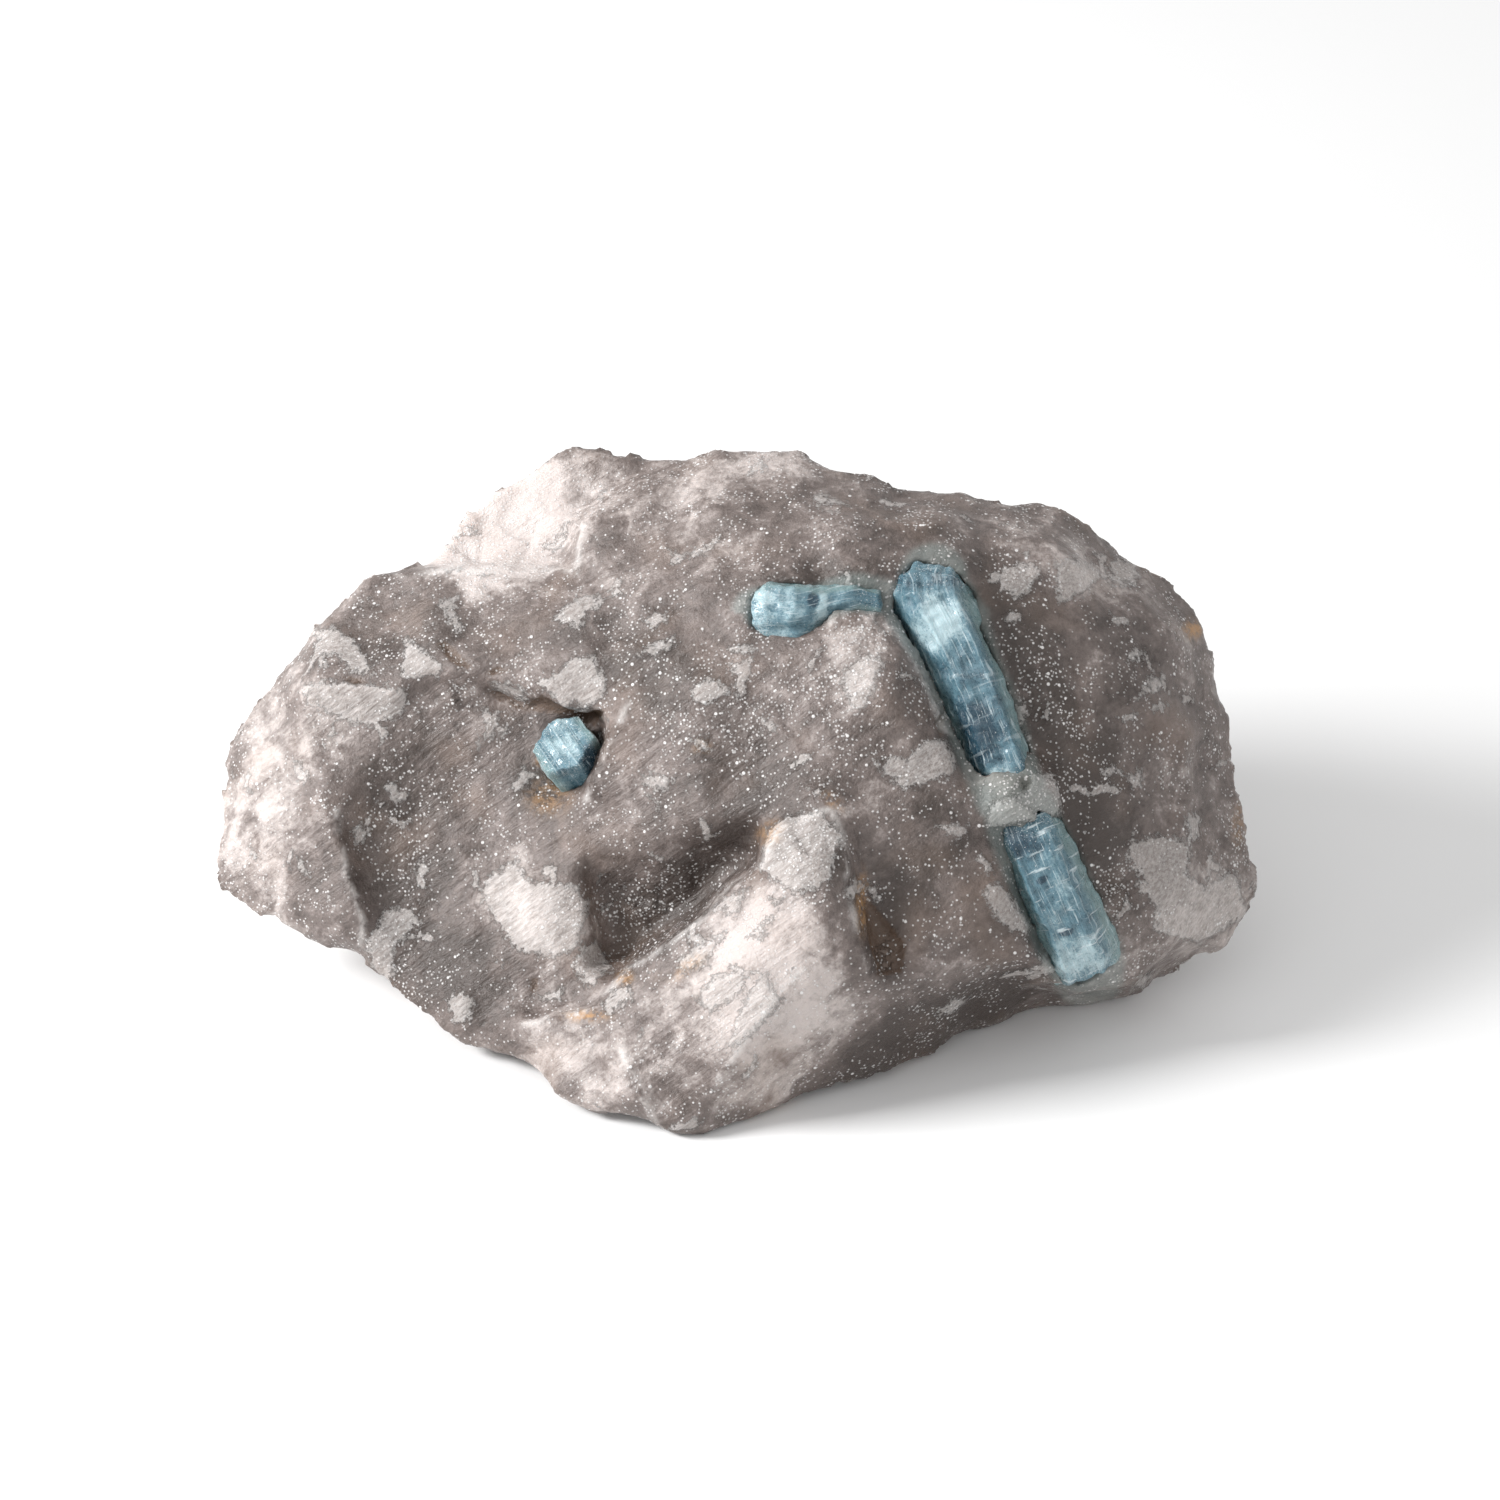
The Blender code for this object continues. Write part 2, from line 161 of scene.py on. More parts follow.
# Each crystal's node, the piece that replaces it, how pale it is and how much cracks cross it
CRYSTAL_PIECES = [
    ("long_crystal_upper", "upper_aquamarine", 0.0, 0.35),
    ("long_crystal_lower", "lower_aquamarine", 0.1, 1.0),
    ("side_crystal", "side_aquamarine", 0.35, 0.0),
    ("small_crystal", "small_aquamarine", 0.2, 0.0),
]

# Each crystal: how far it is turned about its length, and its stations. A station says how far
# across, up and towards the viewer the middle is, and how far out the corners are
CRYSTALS = {
    "long_crystal_upper": (-8, [
        (28.8, 30.6, 7.6, 4.2), (28.4, 28.4, 8.6, 5.9), (28.6, 26, 9.4, 6.5),
        (29.8, 23.6, 11, 5.5), (31.8, 20, 12.2, 5), (34.9, 13, 12.8, 4.9),
        (38.1, 4, 13.2, 4.6), (39.5, 0.2, 13.2, 4.4),
    ]),
    "long_crystal_lower": (-5, [
        (41.6, -3.8, 13.4, 4.5), (42.8, -7, 13.3, 4.8), (45.2, -12.4, 12.8, 4.9),
        (48, -18.8, 11.4, 4.9), (50.2, -24, 9, 5), (51, -26.4, 7.4, 4.4),
    ]),
    "side_crystal": (20, [
        (3.4, 25.6, 11.2, 2.8), (5.4, 25.7, 11.6, 4), (9.6, 25.4, 12.2, 4.3),
        (12.4, 26, 12.6, 3), (14.6, 27, 13, 1.8), (18, 27.7, 13, 1.4), (21.4, 27, 12.4, 1.1),
    ]),
    "small_crystal": (30, [
        (-24.5, 6.8, 6.6, 4.2), (-21.8, 3.4, 1.6, 4.3), (-18.5, -0.6, -4.6, 4.3),
    ]),
}

# Pale scales of the quartz, each an outline of (across, up)
FLAKES = [
    [(-9.6, 34.6), (-8.7, 32.3), (-6.3, 33.2), (-3.9, 33.9), (-4.9, 34.9), (-6.7, 33.9)],
    [(-23.7, 26.6), (-21.3, 28), (-19.2, 28.1), (-18, 27.3), (-20.6, 25.2), (-22, 23.1),
     (-25.8, 24.3)],
    [(-13.4, 24.5), (-11.5, 25.5), (-9.1, 25.7), (-9.4, 24.1), (-11.5, 23.4)],
    [(-13.8, 19.1), (-12.6, 20.7), (-8.1, 22.1), (-8.7, 20.7), (-10.5, 19.6)],
    [(-28.6, 15.4), (-25.4, 16.8), (-22.7, 19.3), (-19.9, 19.4), (-18.1, 15.8), (-18.3, 13.7),
     (-20.9, 11.4), (-22.7, 12.7), (-23.7, 11.8), (-26.1, 13.7)],
    [(-34.8, 15.3), (-32.7, 15.8), (-30, 14.8), (-29.6, 12.7), (-33.1, 14.1)],
    [(-42.8, 27.6), (-41.1, 27.3), (-39.3, 28), (-39.9, 25.9), (-38.5, 22.6), (-39.7, 22.4)],
    [(-6.3, 13.4), (-5.3, 15.4), (-3.5, 16.3), (-1.1, 15.4), (0, 14.4), (-3.9, 12.3)],
    [(-0.9, 17.9), (1.3, 18.8), (3.1, 19.1), (2.2, 15.8), (0.6, 16.5)],
    [(-0.8, 20.5), (1.3, 21), (3.1, 20.7), (2.7, 19.4), (0.6, 19.3)],
    [(-6, 7.5), (-3.9, 7.6), (-3, 6.4), (-3.9, 5.4), (-5.1, 6.1)],
    [(-13.3, 1.2), (-11.9, 2.6), (-8.1, 1.7), (-10.1, -0.2), (-12.2, 0.3)],
    [(1.9, 45.2), (3.4, 47.1), (4.8, 47.3), (4.5, 45.7)],
    [(11.3, 42.3), (12.9, 42.6), (14.3, 41.6), (16.7, 40.9), (12.9, 40.9), (12.2, 39.9)],
    [(37.9, 30.5), (39.7, 32.2), (43.2, 32.6), (44.2, 31.5), (42.8, 28.7), (40.7, 27.3)],
    [(46.1, 32.6), (48.4, 33.4), (51.5, 32.6), (52.9, 30.8), (50.5, 28.4), (46.6, 26.7)],
    [(53.4, 32.2), (55, 33.3), (57.4, 32.6), (58.4, 30.8), (57.1, 29.1), (54.3, 29.4)],
    [(38.8, 24.6), (39.9, 25.8), (41.2, 25.3), (41.1, 24), (39.9, 23.5)],
    [(53.2, 2.2), (52.6, 2.7), (54.1, 3.8), (55.9, 2.6), (54.5, 2.4), (53.4, 0.9)],
    [(56.2, 2), (58.8, 3.1), (58.7, 0.9), (57.6, 0.3)],
    [(19.2, 5.4), (21.6, 3.7), (22.6, 5.1), (24.7, 4.7), (26.1, 6.1), (28.2, 7.5),
     (30.6, 7.2), (32, 4.7), (31.9, 2.3), (26.8, 0.9), (24.7, 0.2), (21.3, 3)],
    [(15.3, 16.6), (19.2, 19.7), (22, 19), (20.2, 14.5), (19.2, 11.7), (17.1, 11.5)],
    [(40.4, 11.7), (42.1, 13.1), (42.6, 12), (41.4, 8.9), (42.8, 7.9), (42.6, 6.1),
     (40.7, 8.9)],
    [(56.6, 13.2), (58.3, 13.7), (60, 16.5), (61.4, 16), (61.6, 14.6), (57.6, 12.8)],
    [(59.9, 11.8), (61.1, 12.7), (62.5, 12.1), (60.7, 11.1)],
    [(55.7, 10.4), (57, 11.5), (57.9, 10.8), (56.4, 9.8)],
    [(56.2, 19), (57.4, 20.6), (58.7, 19.6), (57.5, 17.9)],
    [(64.7, -3.9), (65.9, -3), (67.2, -4.2), (67, -6.3), (65.9, -7.7), (65.1, -7)],
    [(56.2, -9.1), (56.9, -7.3), (60.7, -6.3), (63.9, -7), (65.9, -7.7), (65.2, -11.9),
     (67.3, -13.6), (72, -11.5), (74, -18), (67, -22), (60.4, -20.3), (60.4, -15.3),
     (58.8, -13.3)],
    [(35.9, -15), (36.4, -13.3), (38.5, -13.1), (41.3, -17.1), (43, -19.2), (42, -21.1),
     (37.8, -18.5)],
    [(29.4, -4.9), (31.5, -4.7), (33.6, -4.9), (34, -5.9), (32.6, -7)],
    [(29.3, -31.8), (31, -30), (34, -29.6), (31.5, -32)],
    [(57.3, -28.2), (58.3, -26.6), (60.7, -26.1), (58.7, -28.4)],
    [(36.4, -4.9), (36.7, -2.1), (38.5, -1.1), (41.3, -0.7), (43.3, 2.7), (46, 2.4),
     (47.5, -3.5), (43.3, -4), (38.5, -5.3)],
    [(-62.2, 14.9), (-59.1, 15.6), (-51.4, 15.3), (-47.3, 14.6), (-46.2, 13.2), (-47.6, 10.7),
     (-52.5, 9), (-57, 10.4), (-61.2, 12.5)],
    [(-59.4, 22.9), (-57, 23.4), (-54.2, 21.5), (-50.9, 16.3), (-54.9, 16.7), (-57, 19.4),
     (-60.6, 18.4)],
    [(-47.6, 16), (-47.3, 19.8), (-46.9, 21.9), (-43.1, 19.4), (-41.7, 17.7), (-42, 16.3)],
    [(-63.4, 3.1), (-62.6, 4), (-60.8, 2.7), (-60.5, 1.7), (-61.5, 0.3)],
    [(-37.2, 7), (-36.6, 8.1), (-36, 7), (-36.6, 5.9)],
    [(-54.8, -6), (-53.2, -4.5), (-52.4, -6.6), (-53.8, -8.3)],
    [(-46.2, -11.5), (-45, -10.2), (-44.6, -11.8), (-45.6, -12.9)],
    [(-50.7, -18.8), (-49.7, -16.7), (-45.9, -17.1), (-44.5, -18.8), (-46.6, -19.9),
     (-48.4, -22.5), (-48.8, -28.8), (-51, -27), (-53, -22)],
    [(-35, -12), (-31, -10), (-29, -13), (-23, -13.5), (-20.5, -16), (-22, -22), (-25, -24),
     (-31, -23), (-36, -16)],
    [(-41, -30), (-39, -28.5), (-37, -30), (-37.5, -33), (-40, -33.5)],
    [(-23.1, -25), (-22, -22.6), (-19.6, -21.5), (-17.2, -25.7), (-21, -28.5)],
    [(5.1, -5.5), (8.6, -3.1), (12.7, -2.7), (15.7, -6.2), (13.8, -13.2), (9.3, -14.9),
     (4, -11.4)],
    [(-3.3, -17.3), (-0.5, -14.9), (2.3, -13.9), (0.9, -17.7)],
    [(1.9, -20.8), (4, -19.1), (6.5, -17), (4.4, -21.2)],
    [(-7.8, -24.3), (-5.3, -22.2), (-0.8, -20), (-3.6, -24.6), (-7.4, -26.4)],
    [(0.2, -33.3), (2.6, -28.1), (4.7, -25.7), (7.2, -30.2), (3, -34.7), (-0.8, -37.5)],
    [(-5.3, -29.9), (-2.6, -26.4), (1.6, -25.3), (1.6, -28.8), (-3.3, -31.9)],
    [(-18.9, -30.5), (-14.7, -26.7), (-14.4, -29.9), (-17.9, -32.3)],
    [(21.1, -22.5), (22.3, -21.5), (22.8, -25), (21.6, -26)],
    [(-31.7, 0.4), (-30.2, 3.3), (-28.1, 2.4), (-30.6, -0.2)],
]

# Soft zones of the front, milkier where the amount is positive and smokier where it is negative. They
# also hold painted light on the left lobe, the upper left facet and the front lump's left face, and
# painted shade on the underside, in the crevice along the front lump's top edge, below the small crystal
# and on the right of the long crystal: (across, up, half width, half height, turn in degrees, amount)
MILK_SMOKE_AND_PAINTED_SHADING = [
    (-68, -5, 7, 17, 0, 0.6), (-34, 38, 12, 9, 35, 1.0), (-21, 45, 9, 5, 0, 0.45),
    (2, 46, 12, 3, 10, 0.4), (50, 31, 9, 4, -20, 0.35), (68, -17, 8, 9, 20, 0.55),
    (3, -26, 14, 16, 55, 0.65), (-18, -40, 14, 8, -10, 0.45), (-28, -17, 9, 6, -25, 0.4),
    (-60, 10, 10, 8, 20, 0.3), (18, 20, 5, 6, 0, 0.45), (-24, 16, 8, 4, -20, 0.2),
    (13, -40, 14, 3, 20, 0.25),
    (-9, -18, 13, 5, 38, -0.8), (-13, 17, 8, 5, 0, -0.4), (44, 16, 5, 15, 25, -0.6),
    (51, -4, 6, 11, 0, -0.55), (33, -13, 14, 10, -20, -0.3), (27, -35, 16, 4, 24, -1.2),
    (-46, -10, 9, 8, 0, -0.45), (-41, -25, 10, 6, -20, -0.4), (-27, 0, 5, 4, 20, -0.5),
    (22, -21, 3, 6, 0, -0.6), (12, 31, 10, 2.5, 5, -0.4), (0, -3, 14, 8, 20, -0.35),
    (-45, 3, 14, 8, 0, -0.15), (52, 18, 10, 10, 0, -0.15), (-51, 19, 6, 3, -30, -0.3),
]

FROSTY = [
    (18, 22, 4.5, 3.6, 20, 1.0), (-38.5, 13, 3.5, 2, -10, 0.8), (-34, 35, 9, 6, 35, 0.7),
    (55, -15, 3, 5, 0, 0.7), (42, -1, 5, 3.5, 0, 0.9), (10, -8, 5, 5, 0, 0.6),
    (-12, -16, 7, 5, 30, 0.6), (0, 12, 20, 10, 10, 0.35), (45, 12, 5, 8, 0, 0.35),
]

RUSTY = [
    (-21, -32.3, 3, 0.8, 0, 1.0), (18.6, -16, 0.9, 4, 0, 0.9), (-15.5, -27, 1.2, 1.2, 0, 0.7),
    (-6, -25, 3, 1, 40, 0.5), (5.5, -6, 2, 1.6, 30, 0.6), (14.5, -1.5, 1.8, 0.8, -40, 0.6),
    (66, 23, 1.4, 1.4, 0, 1.0), (-27.4, 4.6, 0.9, 1.3, 0, 0.9), (-26.5, -1, 3, 2.4, 0, 0.5),
    (-4.5, 6.4, 1.5, 1, 0, 0.35), (72.5, -5, 1, 3, 0, 0.4),
]

# Hollows, painted brown with the painted shade of the pits in the brown, each an outline of (across, up)
HOLLOWS = [
    [(-42.7, 21.2), (-41, 21.4), (-37.2, 17.7), (-38, 17.3), (-40.5, 18.5)],
    [(-35.8, 16.8), (-34, 17.8), (-31.8, 17.4), (-34.5, 16.4)],
    [(-56.5, 16.4), (-54, 16.2), (-52.1, 15.4), (-54.5, 15.1)],
    [(-36.2, 14.2), (-33.4, 14.1), (-30, 12.1), (-27.5, 13.7), (-23.4, 11.6), (-20.9, 11.3),
     (-18.1, 11.6), (-19.9, 9.2), (-25.4, 10.9), (-31, 11.6)],
    [(18.3, -14), (20.5, -16.5), (25, -22), (24.5, -26), (21, -26.5), (19.8, -22)],
    [(41, 1.6), (41.8, 2.8), (43, 1.8), (42.8, 0), (41.6, 0.2)],
    [(29, 10), (30, 11.5), (30.6, 9), (29.9, 7.6)],
    [(-29.2, -27.5), (-28.2, -26.6), (-27.8, -28.6), (-28.8, -29.2)],
]

# Bright broken edges, each a line of (across, up)
BRIGHT_EDGES = [
    [(-57, -3), (-56, -8), (-55.5, -12), (-54, -15.5), (-53, -19), (-53.5, -22)],
    [(-15, 12.5), (-17, 8), (-19, 4), (-20.5, 0), (-21, -1.5)],
    [(-50, 30.5), (-45, 31), (-33, 31.5), (-27, 31.5), (-22.5, 31), (-21.5, 38)],
    [(14, -2.5), (15.8, -6), (16.5, -12), (17.5, -18), (19, -25.5)],
    [(-10.5, -48.5), (-13, -44), (-14.5, -40), (-16, -37)],
    [(14, 24), (17, 26.5), (21, 25.5), (24, 22), (27, 17), (29, 12), (31, 8)],
    [(-30, -33.5), (-24.5, -32.5), (-20, -31.5), (-15, -25.8), (-10, -22.5), (-5, -19),
     (-1, -14), (4, -11.5), (7, -5), (14, -2.5)],
    [(10, -25.5), (7, -29), (3, -34), (0, -38.5), (-2, -41)],
]

# Pale and dark zones of the crystals, written as the zones above; the dark one on the small crystal's
# right face is painted shade
PALE_DARK_AND_PAINTED_SHADE = [
    (29.5, 24, 4.5, 4, 0, 1.0), (35.4, 8.5, 3, 5, 20, -0.75), (50, -24, 4, 3, 0, 0.8),
    (40, -7, 3, 2.5, 0, -0.7), (38.2, 2, 2.5, 1.8, 0, 0.8), (4.5, 27.8, 1.4, 1.2, 0, 1.0),
    (11.6, 27.4, 0.8, 0.9, 0, -2.2), (12.8, 26.5, 0.8, 2.4, 0, 0.8), (-24.5, 7, 2.6, 3.6, 0, 0.5),
    (-20, 5, 1.7, 3, 0, -0.8), (-24, 1.5, 3, 2, 0, 0.15), (44.4, -12.8, 0.8, 0.5, 20, -1.8),
    (47.8, -20.4, 1.0, 0.45, 20, -1.8), (46, -15, 3, 4, 20, 0.15),
]


def seen(across, up, towards):
    """The place, in millimetres, of a point given as it looks; the stone isn't yet centred."""
    near = (VIEW_DISTANCE - towards) / VIEW_DISTANCE
    level = RIGHT * across * near + UP * up * near + np.array((0.0, 0.0, VIEW_HEIGHT))
    return level + TO_VIEWER * towards


def prism_rings(turn, stations, spare=0.0):
    """The corners at each station, the middles, and the directions of the crystal there."""
    middles = np.array([seen(*station[:3]) for station in stations])
    steps = np.diff(middles, axis=0)
    alongs = np.vstack((steps[:1], steps[:-1] + steps[1:], steps[-1:]))
    alongs /= np.linalg.norm(alongs, axis=1)[:, None]
    rings = []
    for middle, along, station in zip(middles, alongs, stations):
        side = np.cross(along, TO_VIEWER)
        side /= np.linalg.norm(side)
        front = np.cross(side, along)
        angles = np.radians(turn) + np.arange(SIDES) * math.tau / SIDES
        out = np.outer(np.cos(angles), side) + np.outer(np.sin(angles), front)
        rings.append(middle + out * (station[3] + spare))
    return rings, middles, alongs


def stone_shift():
    """How far everything was moved to put the stone's middle over the origin."""
    rings, _, _ = prism_rings(*CRYSTALS["small_crystal"])
    corners = np.vstack(rings)
    low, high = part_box("small_crystal")
    placed = (np.array(low) + np.array(high)) / 2 / MM
    return placed - (corners.min(0) + corners.max(0)) / 2


SHIFT = stone_shift()


def looks(places):
    """How far across, up and towards the viewer places in millimetres look."""
    raised = places - SHIFT - np.array((0.0, 0.0, VIEW_HEIGHT))
    towards = raised @ TO_VIEWER
    near = (VIEW_DISTANCE - towards) / VIEW_DISTANCE
    return np.column_stack((raised @ RIGHT / near, raised @ UP / near, towards))


def only(item):
    """Selects one object and nothing else."""
    bpy.ops.object.select_all(action="DESELECT")
    item.select_set(True)
    bpy.context.view_layer.objects.active = item


def apply_modifier(item, kind, **settings):
    """Adds a modifier with its settings and applies it."""
    only(item)
    step = item.modifiers.new(kind.lower(), kind)
    for name, value in settings.items():
        setattr(step, name, value)
    bpy.ops.object.modifier_apply(modifier=step.name)


def fine_skin(item, grain, rounds):
    """Gives a mesh an even skin of small faces, and smooths off its steps."""
    apply_modifier(item, "REMESH", mode="VOXEL", voxel_size=grain * MM)
    apply_modifier(item, "SMOOTH", factor=0.5, iterations=rounds)


def corner_vectors(item, kind):
    """The places or normals of a mesh's corners, one row each, as Blender holds them."""
    vectors = np.empty(len(item.data.vertices) * 3)
    item.data.vertices.foreach_get(kind, vectors)
    return vectors.reshape(-1, 3)


def put_places(item, places):
    """Moves the corners of a mesh to places in millimetres."""
    item.data.vertices.foreach_set("co", (places * MM).ravel())
    item.data.update()


def keep_values(item, **lists):
    """Keeps numbers for each corner of the mesh under their names, for the finish to read."""
    for name, values in lists.items():
        layer = item.data.attributes.new(name, "FLOAT", "POINT")
        layer.data.foreach_set("value", np.asarray(values, np.float32))


def smoothly(values, low, high):
    """A soft ramp from 0 at the low value to 1 at the high one."""
    share = np.clip((values - low) / (high - low), 0.0, 1.0)
    return share * share * (3.0 - 2.0 * share)


def cloud(places, size, seed=0.0):
    """A soft random value at each place, about -1 to 1, with bumps of about the given size."""
    scaled = places / size + seed
    return np.array([noise.noise(Vector(place)) for place in scaled])


def inside_depth(spots, outline):
    """How deep each spot lies inside an outline; outside it the value is negative."""
    corners = np.array(outline, float)
    following = np.roll(corners, -1, axis=0)
    depth = np.full(len(spots), FAR_OUTSIDE)
    low = corners.min(0) - DEPTH_REACH
    high = corners.max(0) + DEPTH_REACH
    near = np.where(((spots > low) & (spots < high)).all(1))[0]
    if len(near) == 0:
        return depth
    spot = spots[near][:, None]
    edge = following - corners
    share = ((spot - corners) * edge).sum(2) / (edge * edge).sum(1)
    closest = corners + np.clip(share, 0.0, 1.0)[..., None] * edge
    reach = np.linalg.norm(spot - closest, axis=2).min(1)
    rises = (corners[:, 1] > spot[..., 1]) != (following[:, 1] > spot[..., 1])
    # A level edge is never crossed; the tiny rise only keeps the division whole
    level = np.where(edge[:, 1] == 0.0, 1e-9, edge[:, 1])
    crossing = corners[:, 0] + (spot[..., 1] - corners[:, 1]) * edge[:, 0] / level
    inside = (rises & (spot[..., 0] < crossing)).sum(1) % 2 == 1
    depth[near] = np.where(inside, reach, -reach)
    return depth


def deepest(spots, outlines):
    """How deep each spot lies inside the outline that holds it best."""
    depth = np.full(len(spots), FAR_OUTSIDE)
    for outline in outlines:
        depth = np.maximum(depth, inside_depth(spots, outline))
    return depth


def line_distance(spots, line):
    """How far each spot is from a line of points."""
    points = np.array(line, float)
    edge = np.diff(points, axis=0)
    spot = spots[:, None]
    share = ((spot - points[:-1]) * edge).sum(2) / (edge * edge).sum(1)
    closest = points[:-1] + np.clip(share, 0.0, 1.0)[..., None] * edge
    return np.linalg.norm(spot - closest, axis=2).min(1)


def zones(spots, listed):
    """The sum of soft oval zones, each with its amount."""
    total = np.zeros(len(spots))
    for across, up, half_width, half_height, turn, amount in listed:
        offset = spots - (across, up)
        angle = math.radians(turn)
        along = (offset[:, 0] * math.cos(angle) + offset[:, 1] * math.sin(angle)) / half_width
        beside = (offset[:, 1] * math.cos(angle) - offset[:, 0] * math.sin(angle)) / half_height
        total += amount * np.exp(-(along * along + beside * beside) ** 1.5)
    return total


def scattered_scales(places, normals):
    """Depth inside small scales that are scattered over the stone, like the ones in front."""
    rng = np.random.default_rng(SCALE_SEED)
    tree = kdtree.KDTree(len(places))
    for number, place in enumerate(places):
        tree.insert(place, number)
    tree.balance()
    depth = np.full(len(places), FAR_OUTSIDE)
    for start in rng.integers(0, len(places), SCALE_COUNT):
        size = SMALLEST_SCALE + SCALE_SPREAD * rng.random() ** 3
        slim = rng.uniform(SLIMMEST_SCALE, 1.0)
        lobe_turns = rng.uniform(0.0, math.tau, 3)
        normal = normals[start]
        side = np.cross(normal, rng.normal(size=3))
        side /= np.linalg.norm(side)
        other = np.cross(normal, side)
        search = size * 1.7 + 1.2
        found = [number for _, number, _ in tree.find_range(places[start], search)]
        offset = places[found] - places[start]
        x = offset @ side
        y = offset @ other / slim
        angle = np.arctan2(y, x)
        wave = 1.0
        for (lobes, height), lobe_turn in zip(RIM_WAVES, lobe_turns):
            wave = wave + height * np.cos(lobes * angle + lobe_turn)
        depth[found] = np.maximum(depth[found], (size * wave - np.hypot(x, y)) * RIM_SLOPE)
    return depth


class Finish:
    """A material that is built up from patterns. Its sizes are per millimetre."""

    def __init__(self, name):
        self.material = bpy.data.materials.new(name)
        self.material.use_nodes = True
        self.tree = self.material.node_tree
        self.shader = self.tree.nodes["Principled BSDF"]
        place = self.tree.nodes.new("ShaderNodeTexCoord").outputs["Object"]
        scale = self.tree.nodes.new("ShaderNodeVectorMath")
        scale.operation = "SCALE"
        scale.inputs["Scale"].default_value = 1.0 / MM
        self.tree.links.new(place, scale.inputs[0])
        self.place = scale.outputs[0]

    def put(self, value, socket):
        """Links a pattern to a socket, or sets a plain value on it."""
        if isinstance(value, bpy.types.NodeSocket):
            self.tree.links.new(value, socket)
        else:
            socket.default_value = value

    def surface(self, settings):
        """Sets inputs of the surface, by their names."""
        for name, value in settings.items():
            self.put(value, self.shader.inputs[name])

    def value(self, name):
        """The numbers that keep_values keeps under a name."""
        node = self.tree.nodes.new("ShaderNodeAttribute")
        node.attribute_name = name
        return node.outputs["Fac"]

    def math(self, operation, *values):
        node = self.tree.nodes.new("ShaderNodeMath")
        node.operation = operation
        for value, socket in zip(values, node.inputs):
            self.put(value, socket)
        return node.outputs[0]

    def plus(self, first, second):
        return self.math("ADD", first, second)

    def times(self, first, second):
        return self.math("MULTIPLY", first, second)

    def swing(self, pattern, width):
        """A pattern of 0 to 1, made to swing about nothing over the given width."""
        return self.times(self.math("SUBTRACT", pattern, 0.5), width)

    def layered(self, layers):
        """The sum of patterns, each times its amount."""
        total, *others = [self.times(pattern, amount) for pattern, amount in layers]
        for layer in others:
            total = self.plus(total, layer)
        return total

    def step(self, value, low, high):
        """A soft ramp from 0 at the low value to 1 at the high one."""
        node = self.tree.nodes.new("ShaderNodeMapRange")
        node.interpolation_type = "SMOOTHSTEP"
        for socket, given in zip(node.inputs, (value, low, high)):
            self.put(given, socket)
        return node.outputs[0]

    def noise(self, per_mm, detail=2.0, roughness=0.5, place=None, warp=0.0):
        node = self.tree.nodes.new("ShaderNodeTexNoise")
        self.put(place or self.place, node.inputs["Vector"])
        node.inputs["Scale"].default_value = per_mm
        node.inputs["Detail"].default_value = detail
        node.inputs["Roughness"].default_value = roughness
        node.inputs["Distortion"].default_value = warp
        return node.outputs[0]

    def specks(self, per_mm, share, size=SPECK_SIZE):
        """A random share of the cells of a fine pattern, each with a crisp spot."""
        node = self.tree.nodes.new("ShaderNodeTexVoronoi")
        self.put(self.place, node.inputs["Vector"])
        node.inputs["Scale"].default_value = per_mm
        chosen = self.math("GREATER_THAN", share, node.outputs["Color"])
        return self.times(chosen, self.step(node.outputs["Distance"], size, size * SPECK_CORE))

    def blend(self, share, first, second):
        """Goes from the first colour to the second where the share goes from 0 to 1."""
        node = self.tree.nodes.new("ShaderNodeMix")
        node.data_type = "RGBA"
        self.put(share, node.inputs[0])
        for value, socket in ((first, node.inputs[6]), (second, node.inputs[7])):
            self.put((*value, 1.0) if isinstance(value, tuple) else value, socket)
        return node.outputs[2]

    def tint(self, colour, where, strength, tone):
        """Lays a tone over a colour where a pattern is, at the given strength."""
        return self.blend(self.times(where, strength), colour, tone)

    def stretched(self, turn, stretch):
        """The place, turned and squeezed so that a pattern gets long along one direction."""
        node = self.tree.nodes.new("ShaderNodeMapping")
        node.vector_type = "TEXTURE"
        self.put(self.place, node.inputs["Vector"])
        node.inputs["Rotation"].default_value = turn
        node.inputs["Scale"].default_value = stretch
        return node.outputs[0]

    def joined(self, first, second):
        """A place made of two values."""
        node = self.tree.nodes.new("ShaderNodeCombineXYZ")
        self.put(first, node.inputs[0])
        self.put(second, node.inputs[1])
        return node.outputs[0]

    def relief(self, height):
        """Raises the surface by a pattern in millimetres, in its shading alone."""
        node = self.tree.nodes.new("ShaderNodeBump")
        node.inputs["Distance"].default_value = MM
        self.put(height, node.inputs["Height"])
        self.put(node.outputs[0], self.shader.inputs["Normal"])


